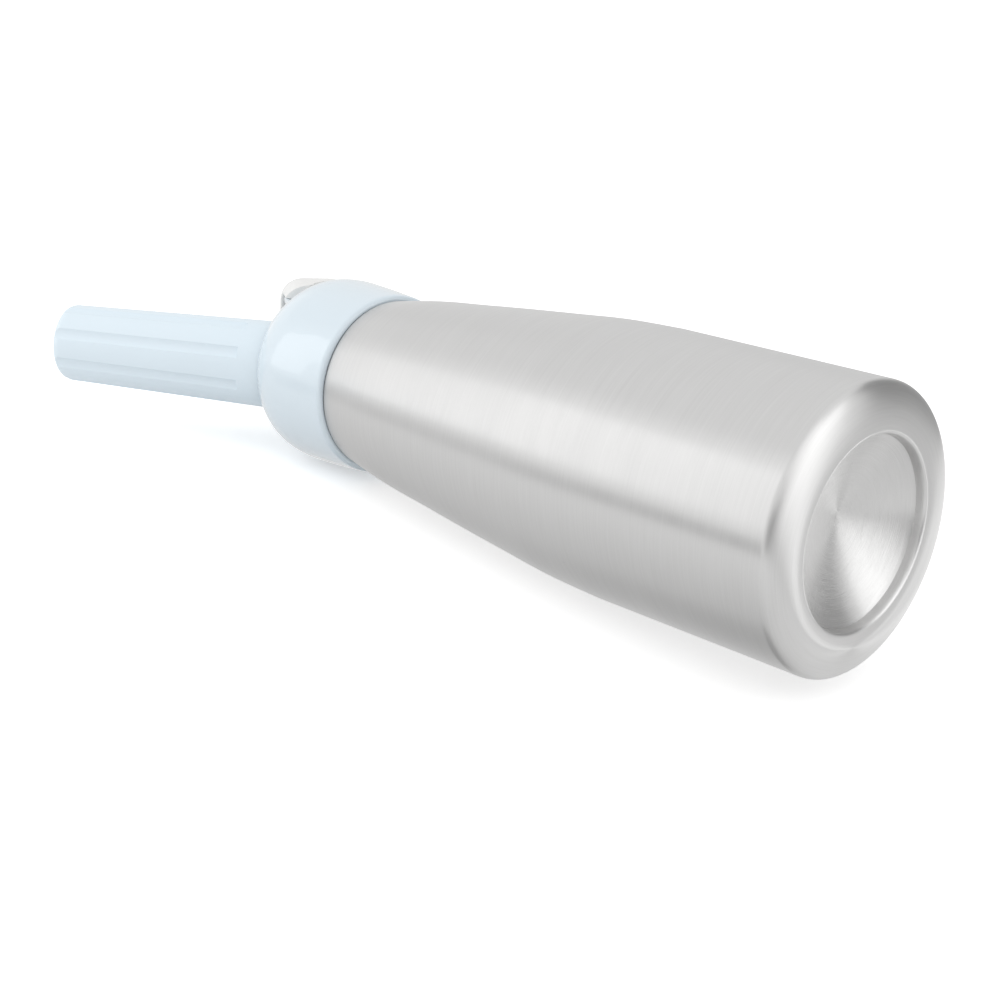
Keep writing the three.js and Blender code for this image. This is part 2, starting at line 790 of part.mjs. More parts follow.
// Laid on its side, the bottle rests where its taper starts and on the widest line of the head.
function restTilt() {
  const headWide = shoulderHeight + crownShares[1][0] * headHeight;
  const slopes = bottleWallLine()
    .filter(([, height]) => height < shoulderHeight)
    .map(([radius, height]) => (radius - headRadius) / (headWide - height));
  return Math.atan(Math.max(...slopes));
}

const tilt = restTilt();
const lying = new THREE.Matrix4().makeBasis(
  new THREE.Vector3(0, -1, 0),
  new THREE.Vector3(-Math.sin(tilt), 0, Math.cos(tilt)),
  new THREE.Vector3(-Math.cos(tilt), 0, -Math.sin(tilt)),
);
upright.applyMatrix4(lying);
upright.updateMatrixWorld(true);
const span = new THREE.Box3().setFromObject(upright, true);
const footing = span.getCenter(new THREE.Vector3());
upright.position.set(-footing.x, -footing.y, -span.min.z);

const dispenser = new THREE.Group();
dispenser.add(upright);

export default dispenser;
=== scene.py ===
import math

import bpy
from mathutils import Matrix, Vector


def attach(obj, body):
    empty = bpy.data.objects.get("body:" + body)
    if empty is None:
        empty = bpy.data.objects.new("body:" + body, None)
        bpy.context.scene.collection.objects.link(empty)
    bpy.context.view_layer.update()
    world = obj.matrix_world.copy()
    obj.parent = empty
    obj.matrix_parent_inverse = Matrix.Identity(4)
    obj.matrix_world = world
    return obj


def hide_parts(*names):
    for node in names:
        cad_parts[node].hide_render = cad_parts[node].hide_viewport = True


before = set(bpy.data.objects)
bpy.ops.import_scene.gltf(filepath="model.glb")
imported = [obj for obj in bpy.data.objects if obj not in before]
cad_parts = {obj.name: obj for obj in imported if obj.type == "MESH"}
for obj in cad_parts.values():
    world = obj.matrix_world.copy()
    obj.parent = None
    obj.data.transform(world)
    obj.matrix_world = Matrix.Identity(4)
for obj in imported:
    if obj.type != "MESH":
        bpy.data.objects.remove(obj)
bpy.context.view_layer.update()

# BOTTLE
# One drawn vessel of stainless steel, 1.5 mm thick, with a tapered body, a rolled foot and a dished base.
# It was turned against a brush, so fine lines run round it everywhere, and its neck carries a rolled thread.
MM = 0.001
TILT = math.atan2(0.069625, 0.997573)
BASE_CENTRE = Vector((152.030229, -0.36873, 45.351756))
ALONG = Vector((-math.cos(TILT), 0, -math.sin(TILT)))
UPWARD = Vector((-math.sin(TILT), 0, math.cos(TILT)))
TOWARDS_HOLDER = Vector((0, -1, 0))
UPRIGHT = Matrix.Translation(BASE_CENTRE * MM) @ Matrix((TOWARDS_HOLDER, UPWARD, ALONG)).transposed().to_4x4()

BASE_RADIUS = 39.89
SHOULDER_RADIUS = 27.8
SHOULDER_HEIGHT = 186.0
STRAIGHT_HEIGHT = 73.0
WALL = 1.5
NECK_TOP = 204.0
NECK_ROOT = 23.85
NECK_WALL = 1.0
TAPER_SHARES = (0, 0.07, 0.225, 0.385, 0.56, 0.735, 1)
TAPER_STEPS = 48
CORNER = (12.5, 4.2)
CORNER_FULLNESS = 2 / 2.3
CORNER_STEPS = 22
DISH_DEPTH = 10.0
DISH_STEP = (25.9, 2.8)
DISH_CURVE = 50.2
DISH_STEPS = 28
DISH_LIP = ((25.96, 2.5), (26.0, 2.2), (26.08, 1.4), (26.2, 0.75), (26.4, 0.3), (26.7, 0.07), (27.1, 0))
FOOT_INNER = 28.2
BOTTLE_TURNS = 192
FINE_TURNS = 160
SAME_PLACE = MM / 2000
THREAD_SHARE = 0.42


def smooth_line(points, steps):
    """Points at equal steps along a curve that runs smoothly through the given ones."""
    line = []
    last = len(points) - 1
    for k in range(steps + 1):
        reach = k / steps * last
        at = min(int(reach), last - 1)
        share = reach - at
        before, start, end, after = (
            Vector(points[i]) for i in (max(at - 1, 0), at, at + 1, min(at + 2, last))
        )
        out, back = (end - before) / 2, (after - start) / 2
        line.append(
            (2 * start - 2 * end + out + back) * share**3
            + (3 * end - 3 * start - 2 * out - back) * share**2
            + out * share
            + start
        )
    return [tuple(p) for p in line]


def quarter(centre, width, height, start, end, steps):
    """Points on a quarter of an ellipse, by degrees from its outward side."""
    turns = [math.radians(start + (end - start) * k / steps) for k in range(steps + 1)]
    return [(centre[0] + width * math.cos(t), centre[1] + height * math.sin(t)) for t in turns]


def traced(name, outline, at):
    """An open chain of corners, drawn by extruding the first one from point to point."""
    bpy.ops.object.select_all(action="DESELECT")
    bpy.ops.mesh.primitive_plane_add(size=MM)
    piece = bpy.context.object
    piece.name = piece.data.name = name
    bpy.ops.object.mode_set(mode="EDIT")
    bpy.ops.mesh.select_all(action="SELECT")
    bpy.ops.mesh.merge(type="CENTER")
    bpy.ops.transform.translate(value=at(outline[0]))
    for before, after in zip(outline, outline[1:]):
        step = at(after) - at(before)
        bpy.ops.mesh.extrude_region_move(TRANSFORM_OT_translate={"value": step})
    bpy.ops.mesh.select_all(action="SELECT")
    return piece


def close_up(piece):
    """Welds the corners that meet and turns the faces outwards."""
    bpy.ops.mesh.select_all(action="SELECT")
    bpy.ops.mesh.remove_doubles(threshold=SAME_PLACE)
    bpy.ops.mesh.normals_make_consistent(inside=False)
    bpy.ops.object.mode_set(mode="OBJECT")
    return piece


def beside_axis(point):
    """A point of an outline, as radius and height in millimetres, in the X and Z plane."""
    return Vector((point[0], 0, point[1])) * MM


def turned(name, outline, turns=FINE_TURNS):
    """A piece turned on a lathe from an outline of radius and height, in millimetres."""
    piece = traced(name, outline, beside_axis)
    bpy.ops.mesh.spin(steps=turns, angle=math.tau, center=(0, 0, 0), axis=(0, 0, 1))
    return close_up(piece)


def pick(piece):
    """Selects one piece, and nothing else."""
    bpy.ops.object.select_all(action="DESELECT")
    bpy.context.view_layer.objects.active = piece
    piece.select_set(True)


def apply_modifier(piece, kind, **settings):
    pick(piece)
    step = piece.modifiers.new("step", kind)
    for setting, value in settings.items():
        setattr(step, setting, value)
    bpy.ops.object.modifier_apply(modifier=step.name)


def round_edges(piece, width, segments=3, angle=35):
    """Rounds the edges that are sharper than the angle, by a width in millimetres."""
    apply_modifier(
        piece, "BEVEL", width=width * MM, segments=segments,
        limit_method="ANGLE", angle_limit=math.radians(angle),
    )


def smoothed(piece, angle=32):
    """Shades a piece smooth, except across edges sharper than the angle."""
    pick(piece)
    bpy.ops.object.shade_smooth_by_angle(angle=math.radians(angle))
    return piece


def worked(piece, tool, operation):
    """Cuts the tool away from the piece, or joins it on, and clears the tool away."""
    apply_modifier(piece, "BOOLEAN", object=tool, operation=operation, solver="EXACT")
    bpy.data.objects.remove(tool)


def wound(name, outline, pitch, turns, sides):
    """A closed outline wound round the Z axis, with its two ends closed."""
    coil = traced(name, outline, beside_axis)
    bpy.ops.mesh.remove_doubles(threshold=SAME_PLACE)
    bpy.ops.object.mode_set(mode="OBJECT")
    apply_modifier(
        coil, "SCREW", axis="Z", steps=sides, render_steps=sides,
        screw_offset=pitch * MM, iterations=turns, use_merge_vertices=False,
    )
    bpy.ops.object.mode_set(mode="EDIT")
    bpy.ops.mesh.select_all(action="DESELECT")
    bpy.ops.mesh.select_non_manifold()
    bpy.ops.mesh.edge_face_add()
    return close_up(coil)


def thread(name, radius, crest, pitch, start, turns, sides):
    """A three-sided ridge of a thread, from its root to its crest."""
    root, half = radius - crest, pitch * THREAD_SHARE
    ridge = [(root, start), (radius, start + half), (root, start + 2 * half), (root, start)]
    return wound(name, ridge, pitch, turns, sides)


def united(piece, *others):
    """Joins pieces that pass through each other into one object."""
    bpy.ops.object.select_all(action="DESELECT")
    for part in (piece, *others):
        part.select_set(True)
    bpy.context.view_layer.objects.active = piece
    bpy.ops.object.join()
    return piece


taper_radii = [BASE_RADIUS - share * (BASE_RADIUS - SHOULDER_RADIUS) for share in TAPER_SHARES]
taper_points = [(k / (len(taper_radii) - 1), radius) for k, radius in enumerate(taper_radii)]
taper = smooth_line(taper_points, TAPER_STEPS)
outer_wall = []
for k in range(CORNER_STEPS + 1):
    turn = math.pi / 2 * k / CORNER_STEPS
    inset = 1 - math.sin(turn) ** CORNER_FULLNESS
    rise = 1 - max(math.cos(turn), 0) ** CORNER_FULLNESS
    outer_wall.append((BASE_RADIUS - CORNER[0] * inset, CORNER[1] * rise))
outer_wall += [(r, STRAIGHT_HEIGHT + k * (SHOULDER_HEIGHT - STRAIGHT_HEIGHT)) for k, r in taper]
inner_wall = [(r - WALL, z) for r, z in outer_wall[CORNER_STEPS + 1:]]
neck = [
    (NECK_ROOT + 1.6, SHOULDER_HEIGHT + 1.7),
    (NECK_ROOT + 0.35, SHOULDER_HEIGHT + 3.1),
    (NECK_ROOT, SHOULDER_HEIGHT + 4.2),
    (NECK_ROOT, NECK_TOP - 1.0),
    *quarter((NECK_ROOT - 0.5, NECK_TOP - 0.5), 0.5, 0.5, 0, 180, 8)[:-1],
    (NECK_ROOT - NECK_WALL, NECK_TOP - 1.2),
    (NECK_ROOT - NECK_WALL, SHOULDER_HEIGHT + 4.0),
]
dish = []
for k in range(DISH_STEPS + 1):
    reach = DISH_STEP[0] * k / DISH_STEPS
    dish.append((reach, DISH_DEPTH - DISH_CURVE + math.sqrt(DISH_CURVE**2 - reach**2)))
inner_foot = [
    (BASE_RADIUS - WALL, CORNER[1] + WALL),
    (BASE_RADIUS - 3.6, 3.0),
    (BASE_RADIUS - 7, 1.9),
    (FOOT_INNER, WALL),
    (FOOT_INNER, DISH_STEP[1] + WALL),
]
inner_dish = [(r, z + WALL) for r, z in dish]
outside = [*dish, *DISH_LIP, *outer_wall, *neck]
inside = inner_wall[::-1] + inner_foot + inner_dish[::-1]
bottle = turned("bottle_steel", outside + inside, BOTTLE_TURNS)
neck_thread = thread(
    "neck_thread", radius=NECK_ROOT + 0.7, crest=0.9, pitch=3.0,
    start=SHOULDER_HEIGHT + 5.2, turns=3, sides=96,
)
united(bottle, neck_thread)
bottle.data.transform(UPRIGHT)
smoothed(bottle, 35)
# The brushed shine needs a direction. The texture space is wide along X alone, so the shine runs along X.
bottle.data.use_auto_texspace = False
bottle.data.texspace_location = (0, -10, 0)
bottle.data.texspace_size = (1000, 1, 1)


NOISE_ROUGHNESS = 0.55
# Each set of brushed lines: how far apart they are in metres, how often one ends round the axis, its detail.
FINE_LINES = (0.00016, 2.6, 1.0)
MIDDLING_LINES = (0.0007, 2.0, 2.0)
BROAD_LINES = (0.006, 0.9, 1.0)
NOT_ZERO = 1e-10
BOTTLE_LIGHT = (0.80, 0.798, 0.794, 1)
BOTTLE_DARK = (0.72, 0.717, 0.712, 1)
DISH_LINES = (DISH_STEP[0] * MM, 12 * MM, 34.0)


class Reading:
    """A value that changes over a surface. Sums written with it become Math nodes."""

    def __init__(self, finish, socket):
        self.finish, self.socket = finish, socket

    def worked_with(self, operation, first, second):
        return self.finish.node("ShaderNodeMath", {"operation": operation}, {0: first, 1: second})

    def __add__(self, other):
        return self.worked_with("ADD", self, other)

    def __radd__(self, other):
        return self.worked_with("ADD", other, self)

    def __sub__(self, other):
        return self.worked_with("SUBTRACT", self, other)

    def __rsub__(self, other):
        return self.worked_with("SUBTRACT", other, self)

    def __mul__(self, other):
        return self.worked_with("MULTIPLY", self, other)

    def __rmul__(self, other):
        return self.worked_with("MULTIPLY", other, self)

    def __truediv__(self, other):
        return self.worked_with("DIVIDE", self, other)

    def __pow__(self, other):
        return self.worked_with("POWER", self, other)


class Network:
    """Nodes of one tree, with its values joined by links."""

    def __init__(self, tree):
        self.tree = tree

    def node(self, kind, settings, values, output=0):
        """A node of any kind, with its settings, and the values or links of its sockets."""
        made = self.tree.nodes.new(kind)
        for setting, value in settings.items():
            setattr(made, setting, value)
        for socket, value in values.items():
            self.feed(made.inputs[socket], value)
        return Reading(self, made.outputs[output])

    def feed(self, socket, value):
        if isinstance(value, Reading):
            self.tree.links.new(value.socket, socket)
        else:
            socket.default_value = value

    def split(self, vector):
        parts = self.tree.nodes.new("ShaderNodeSeparateXYZ")
        self.feed(parts.inputs[0], vector)
        return [Reading(self, parts.outputs[k]) for k in range(3)]


class Finish(Network):
    """A material made of nodes. Even values go on the shader's own sockets."""

    def __init__(self, name, even):
        self.material = bpy.data.materials.new(name)
        self.material.use_nodes = True
        super().__init__(self.material.node_tree)
        self.shader = self.tree.nodes["Principled BSDF"]
        for socket, value in even.items():
            self.shader.inputs[socket].default_value = value

    def feeds(self, **values):
        """Links what changes over the surface to the shader."""
        for name, value in values.items():
            self.feed(self.shader.inputs[name.replace("_", " ")], value)

    def places(self, frame_of_piece):
        """The surface's own X, Y and Z in a piece's frame, in metres."""
        turn = frame_of_piece.inverted()
        here = self.node("ShaderNodeTexCoord", {}, {}, "Object")
        turned_back = self.node(
            "ShaderNodeMapping", {},
            {"Vector": here, "Location": turn.translation, "Rotation": turn.to_euler()},
        )
        return self.split(turned_back)

    def noise(self, vector, scale, detail=2.0, fourth=None):
        """Noise over a vector, and over a fourth value where one is given."""
        values = {"Vector": vector, "Scale": scale, "Detail": detail, "Roughness": NOISE_ROUGHNESS}
        if fourth is not None:
            values["W"] = fourth
        return self.node("ShaderNodeTexNoise", {"noise_dimensions": "3D" if fourth is None else "4D"}, values)

    def between(self, share, first, second):
        """A colour between two, by a share from 0 to 1."""
        return self.node("ShaderNodeMix", {"data_type": "RGBA"}, {0: share, 6: first, 7: second}, 2)

    def bumped(self, height, distance, strength=1.0):
        return self.node("ShaderNodeBump", {}, {"Strength": strength, "Distance": distance, "Height": height})


def brushed_steel(name, frame_of_piece, light, dark, roughness, line_depth, spread=0.0, dished=None):
    """Stainless steel brushed round an axis: its lines follow circles about it.

    Within the reach and height that dished gives, the fine lines are deeper by its last value.
    """
    steel = Finish(name, {"Metallic": 1.0, "Anisotropic": spread})
    x, y, z = steel.places(frame_of_piece)
    reach = (x * x + y * y + NOT_ZERO) ** 0.5
    across, up = x / reach, y / reach

    def lines(spacing, run, detail):
        flow = steel.node("ShaderNodeCombineXYZ", {}, {0: reach / spacing, 1: z / spacing, 2: across * run})
        return steel.noise(flow, 1.0, detail, up * run)

    fine = lines(*FINE_LINES)
    middling = lines(*MIDDLING_LINES)
    broad = lines(*BROAD_LINES)
    tone = fine * 0.35 + middling * 0.4 + broad * 0.25
    relief = fine + middling * 0.5
    if dished is not None:
        width, height, deeper = dished
        near_axis = steel.node("ShaderNodeMath", {"operation": "LESS_THAN"}, {0: reach, 1: width})
        near_end = steel.node("ShaderNodeMath", {"operation": "LESS_THAN"}, {0: z, 1: height})
        relief = relief + fine * near_axis * near_end * deeper
    steel.feeds(
        Base_Color=steel.between((tone - 0.3) * 2.2, dark, light),
        Roughness=roughness + (fine - 0.5) * 0.14 + (broad - 0.5) * 0.08,
        Normal=steel.bumped(relief, line_depth),
    )
    return steel.material


def dress(piece, material, body, *nodes):
    """Gives a finished piece its material and the body it rides on, in place of its plain nodes."""
    piece.data.materials.clear()
    piece.data.materials.append(material)
    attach(piece, body)
    if nodes:
        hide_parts(*nodes)
    return piece


bottle_finish = brushed_steel(
    "bottle_brushed_steel", UPRIGHT, BOTTLE_LIGHT, BOTTLE_DARK,
    roughness=0.33, line_depth=0.000002, spread=0.9, dished=DISH_LINES,
)
dress(bottle, bottle_finish, "bottle", "bottle")

# HEAD
# A thick moulding of glossy pale-blue plastic, screwed over the neck, with a rolled rim above the shoulder.
# The charger holder's socket and the valve's arm open from its dome, and two ears carry the lever's pin.
CROSSING = Vector((0, 0, SHOULDER_HEIGHT + 19.2))
ARM_ANGLE = math.radians(31.4)
HOLDER_FRAME = UPRIGHT @ Matrix.Translation(CROSSING * MM) @ Matrix.Rotation(ARM_ANGLE, 4, "Y")
VALVE_FRAME = UPRIGHT @ Matrix.Translation(CROSSING * MM) @ Matrix.Rotation(-ARM_ANGLE, 4, "Y")
HEAD_RADIUS = 30.75
HEAD_HEIGHT = 48.6
RIM_RADIUS = 28.15
RIM_ROLL = (1.5, 1.9)
RIM_LIFT = 0.3
CAVITY_RADIUS = 27.2
CAVITY_TOP = NECK_TOP + 3.6
POCKET_FLOOR = 17.0
POCKET_RADIUS = 15.85
ARM_RADIUS = 10.4
ARM_END = 46.0
PIVOT = (12.5, 56.0)
EAR_INNER = 12.5
EAR_THICKNESS = 2.4
EAR_ROUND = 5.0
EAR_ROOT = 27
PIN_BORE = 2.3
CHECK_BORE, CHECK_DEPTH = 4.0, 4.7
VALVE_BORE = 6.3
GAS_HOLE, GAS_HOLE_REACH = 1.2, 8.2
EAR_EDGE = 0.7
RIM_INSET = 0.5
RIM_START = RIM_LIFT + 0.12
ARM_EDGE = 0.8
WAIST = (30.15, 8.75)
CROWN_STEPS = 56
CROWN_SHARES = (
    (0.35, 0.995), (0.51, 1), (0.64, 0.965), (0.76, 0.865), (0.88, 0.7), (0.96, 0.44), (1, 0),
)
BLUE = (0.66, 0.748, 0.81, 1)
DRIFT_SCALE, GRAIN_SCALE = 60.0, 1500.0


def rod(name, radius, low, high, place, sides=96):
    """A round bar along Z, from one height to another, in millimetres."""
    bpy.ops.object.select_all(action="DESELECT")
    bpy.ops.mesh.primitive_cylinder_add(
        vertices=sides, radius=radius * MM, depth=(high - low) * MM, location=(0, 0, (low + high) / 2 * MM)
    )
    bar = bpy.context.object
    bar.name = name
    bpy.ops.object.transform_apply(location=True, rotation=True, scale=True)
    bar.data.transform(place)
    return bar


def plate(name, outline, low, high, place=None):
    """A flat plate: its outline lies in X and Y, and it is extruded along Z, in millimetres."""
    piece = traced(name, outline, lambda p: Vector((p[0], p[1], low)) * MM)
    bpy.ops.mesh.edge_face_add()
    bpy.ops.mesh.extrude_region_move(TRANSFORM_OT_translate={"value": Vector((0, 0, high - low)) * MM})
    close_up(piece)
    if place is not None:
        piece.data.transform(place)
    return piece


# A plate drawn from the side: the outline's Y becomes the height, and the plate's thickness lies along Y.
SIDE_VIEW = Matrix(((1, 0, 0, 0), (0, 0, 1, 0), (0, 1, 0, 0), (0, 0, 0, 1)))

rim = quarter((RIM_RADIUS, RIM_ROLL[1] + RIM_LIFT), *RIM_ROLL, -90, 0, 10)
crown_line = smooth_line(
    [(RIM_RADIUS + RIM_ROLL[0], RIM_ROLL[1] + RIM_LIFT), WAIST]
    + [(radius * HEAD_RADIUS, height * HEAD_HEIGHT) for height, radius in CROWN_SHARES],
    CROWN_STEPS,
)
dome = [(max(r, 0), min(z, HEAD_HEIGHT)) for r, z in crown_line[1:-1]] + [(0, HEAD_HEIGHT)]
cavity = [
    (0, CAVITY_TOP), (CAVITY_RADIUS - 0.8, CAVITY_TOP), (CAVITY_RADIUS, CAVITY_TOP - 0.8),
    (CAVITY_RADIUS, SHOULDER_HEIGHT + 2.4), (RIM_RADIUS - RIM_INSET, SHOULDER_HEIGHT + RIM_START),
]
head = turned("head_moulding", cavity + [(r, SHOULDER_HEIGHT + z) for r, z in rim + dome])
arm_end = quarter((ARM_RADIUS - ARM_EDGE, ARM_END - ARM_EDGE), ARM_EDGE, ARM_EDGE, 0, 90, 5)
arm = turned("arm", [(0, 0), (ARM_RADIUS, 0), *arm_end, (0, ARM_END)], 96)
arm_place = UPRIGHT.inverted() @ VALVE_FRAME
arm.data.transform(arm_place)
worked(head, arm, "UNION")
ear = [(-2, EAR_ROOT), (PIVOT[0] - EAR_ROUND, PIVOT[1])]
ear += quarter(PIVOT, EAR_ROUND, EAR_ROUND, 180, 0, 16)[1:]
ear += [(PIVOT[0] + EAR_ROUND, EAR_ROOT)]
for side in (-EAR_INNER - EAR_THICKNESS, EAR_INNER):
    flap = plate("ear", ear, side, side + EAR_THICKNESS, SIDE_VIEW)
    round_edges(flap, EAR_EDGE, 3, 50)
    flap.data.transform(arm_place)
    worked(head, flap, "UNION")
holder_place = UPRIGHT.inverted() @ HOLDER_FRAME
pin_turn = Matrix.Translation(Vector((PIVOT[0], 0, PIVOT[1])) * MM) @ Matrix.Rotation(math.pi / 2, 4, "X")
gas_hole_place = Matrix.Translation((GAS_HOLE_REACH * MM, 0, 0))
cuts = [
    rod("pocket", POCKET_RADIUS, POCKET_FLOOR, 90, holder_place, 128),
    rod("check_bore", CHECK_BORE, POCKET_FLOOR - CHECK_DEPTH, 60, holder_place, 48),
    rod("valve_bore", VALVE_BORE, -10, 90, arm_place, 64),
    rod("pin_bore", PIN_BORE, -25, 25, arm_place @ pin_turn, 32),
    rod("gas_hole", GAS_HOLE, CAVITY_TOP - 3, CAVITY_TOP + 10.5, gas_hole_place, 32),
]
for tool in cuts:
    worked(head, tool, "DIFFERENCE")
head.data.transform(UPRIGHT)
smoothed(head, 32)


def moulded_plastic(name, colour, roughness, coat, grain, mottle=0.02):
    """Moulded plastic: a faint drift of colour, a fine grain, and a coat for its shine."""
    plastic = Finish(name, {"Metallic": 0.0, "IOR": 1.49, "Coat Weight": coat, "Coat Roughness": 0.01})
    here = plastic.node("ShaderNodeTexCoord", {}, {}, "Object")
    drift = plastic.noise(here, DRIFT_SCALE)
    skin = plastic.noise(here, GRAIN_SCALE)
    deeper = tuple(c * (1 - mottle) for c in colour[:3]) + (1,)
    plastic.feeds(
        Base_Color=plastic.between(drift, deeper, colour),
        Roughness=roughness + (skin - 0.5) * 0.08 + (drift - 0.5) * 0.06,
        Normal=plastic.bumped(skin, grain),
    )
    return plastic.material


gloss_blue = moulded_plastic("gloss_blue_plastic", BLUE, 0.22, 1.0, 0.0000015)
dress(head, gloss_blue, "head", "head_shell")

# CHARGER HOLDER
# A closed tube of the same plastic, a little duller, that takes the gas charger and screws onto the stud.
# Eight shallow flutes for the fingers run out through its rounded end, and a steel sleeve lines its mouth.
HOLDER_MOUTH = 20.6
HOLDER_END = 104.7
MOUTH_RADIUS = 14.85
END_RADIUS = 13.0
END_ROUND = 3.4
SLOPE = (MOUTH_RADIUS - END_RADIUS) / (HOLDER_END - HOLDER_MOUTH)
FLUTE_START = 36.3
FLUTE_RADIUS = 3.4
FLUTE_DEPTH = 0.75
FLUTE_TURN = 25.0
FLUTES = 8
BORE = 9.45
BORE_END = 94.75
SLEEVE_BORE = 12.4
SLEEVE_END = HOLDER_MOUTH + 17.3
FLARE = (9, 0.5)
FLARE_STEPS = 10
SATIN_BLUE = (0.71, 0.805, 0.872, 1)


def holder_radius(place):
    return MOUTH_RADIUS - SLOPE * (place - HOLDER_MOUTH)


flare = []
for k in range(FLARE_STEPS + 1):
    height = HOLDER_MOUTH + FLARE[0] * k / FLARE_STEPS
    flare.append((holder_radius(height) + FLARE[1] * (1 - k / FLARE_STEPS) ** 2, height))
shoulder = HOLDER_END - END_ROUND
end_round = quarter((holder_radius(shoulder) - END_ROUND, shoulder), END_ROUND, END_ROUND, 0, 90, 12)
room = [
    (0, BORE_END), *quarter((0, BORE_END - BORE / 2), BORE, BORE / 2, 90, 0, 10)[1:],
    (BORE, SLEEVE_END), (SLEEVE_BORE, SLEEVE_END), (SLEEVE_BORE, HOLDER_MOUTH),
]
holder = turned(
    "charger_holder_moulding",
    room + flare + [(holder_radius(40), 40), (holder_radius(70), 70)] + end_round + [(0, HOLDER_END)],
    turns=144,
)
lean = Matrix.Rotation(-math.atan(SLOPE), 4, "Y")
start_radius = holder_radius(FLUTE_START) - FLUTE_DEPTH + FLUTE_RADIUS
at = Matrix.Translation(Vector((start_radius, 0, FLUTE_START)) * MM)
for k in range(FLUTES):
    turn = Matrix.Rotation(math.radians(FLUTE_TURN + 360 / FLUTES * k), 4, "Z")
    worked(holder, rod("flute", FLUTE_RADIUS, 0, 100, turn @ at @ lean, 48), "DIFFERENCE")
holder.data.transform(HOLDER_FRAME)
smoothed(holder, 24)
satin_blue = moulded_plastic("satin_blue_plastic", SATIN_BLUE, 0.36, 0.15, 0.000003)
dress(holder, satin_blue, "holder", "charger_holder")

# CHARGER SEAT
# A turned steel stud with a rolled thread, the piercing pin that stands in its cup, and the holder's sleeve.
# The seals round and under them are pressed rings of grey rubber, with rounded edges.
STUD_START = 17.3
BRIGHT_LIGHT = (0.78, 0.79, 0.80, 1)
BRIGHT_DARK = (0.62, 0.63, 0.64, 1)
RUBBER_DARK = (0.085, 0.09, 0.095, 1)
RUBBER_BLOOM = (0.15, 0.155, 0.16, 1)


def bright_steel(name, frame_of_piece):
    return brushed_steel(
        name, frame_of_piece, BRIGHT_LIGHT, BRIGHT_DARK, roughness=0.17, line_depth=0.000003,
    )


holder_steel = bright_steel("holder_side_steel", HOLDER_FRAME)
valve_steel = bright_steel("valve_side_steel", VALVE_FRAME)
neck_steel = bright_steel("insert_steel", UPRIGHT)

stud = turned("stud_body", [
    (1.6, STUD_START), (13.7, STUD_START), (14, STUD_START + 0.3), (14, STUD_START + 2.4),
    (13.7, STUD_START + 2.7), (10.4, STUD_START + 2.7), (9.9, STUD_START + 3.3), (9.9, 34.9), (9.2, 35.7),
    (9.2, 36), (5.5, 36), (5.2, 35.7), (5.2, 28), (1.6, 28), (1.6, STUD_START),
], turns=96)
stud_thread = thread(
    "stud_thread", radius=10.55, crest=0.8, pitch=1.8, start=STUD_START + 4.6, turns=7, sides=64,
)
united(stud, stud_thread)
stud.data.transform(HOLDER_FRAME)
dress(smoothed(stud), holder_steel, "head", "charger_stud")

rubber = Finish("seal_rubber", {"Metallic": 0.0, "IOR": 1.5, "Specular IOR Level": 0.35})
rubber_place = rubber.node("ShaderNodeTexCoord", {}, {}, "Object")
rubber_grain = rubber.noise(rubber_place, 2200.0, 3.0)
rubber_bloom = rubber.noise(rubber_place, 180.0, 2.0)
rubber.feeds(
    Base_Color=rubber.between(rubber_bloom, RUBBER_DARK, RUBBER_BLOOM),
    Roughness=0.62 + (rubber_grain - 0.5) * 0.2,
    Normal=rubber.bumped(rubber_grain, 0.000012),
)


def seal(name, node, inner, outer, low, high, edge, place, body, turns=72):
    """A rubber ring with rounded edges."""
    ring = turned(name, [(inner, low), (outer, low), (outer, high), (inner, high), (inner, low)], turns)
    round_edges(ring, edge)
    ring.data.transform(place)
    dress(smoothed(ring, 40), rubber.material, body, node)


def turned_steel(name, node, outline, material, place, body, turns=72, edge=0.25):
    """A turned piece of bright steel with its edges broken."""
    piece = turned(name, outline, turns)
    round_edges(piece, edge)
    piece.data.transform(place)
    dress(smoothed(piece, 40), material, body, node)


seal(
    "pin_seal_ring", "pin_seal", inner=1.6, outer=4.9, low=28.3, high=30.0, edge=0.35,
    place=HOLDER_FRAME, body="head",
)
turned_steel(
    "piercing_pin_steel", "piercing_pin",
    [(0, 20.9), (1.3, 20.9), (1.3, 30.0), (0, 32.4)], holder_steel, HOLDER_FRAME, "head", 40, 0.12,
)
sleeve = [(10.9, 20.6), (12.1, 20.6), (12.1, 37.6), (10.9, 37.6), (10.9, 20.6)]
turned_steel("sleeve_steel", "holder_sleeve", sleeve, holder_steel, HOLDER_FRAME, "holder", 96)
insert = [(24.7, 190.6), (26.9, 190.6), (26.9, 203.4), (24.7, 203.4), (24.7, 190.6)]
turned_steel("insert_steel_ring", "thread_insert", insert, neck_steel, UPRIGHT, "head", 128)
seal(
    "neck_gasket", "head_gasket", inner=19.3, outer=24.1, low=204.3, high=207.3, edge=0.7,
    place=UPRIGHT, body="head", turns=128,
)
check = turned("check_valve_disc", [(0, 14.6), (3.7, 14.6), (3.7, 17), (0, 17)], 48)
round_edges(check, 0.4)
check.data.transform(HOLDER_FRAME)
dress(smoothed(check, 40), rubber.material, "head", "one_way_valve")

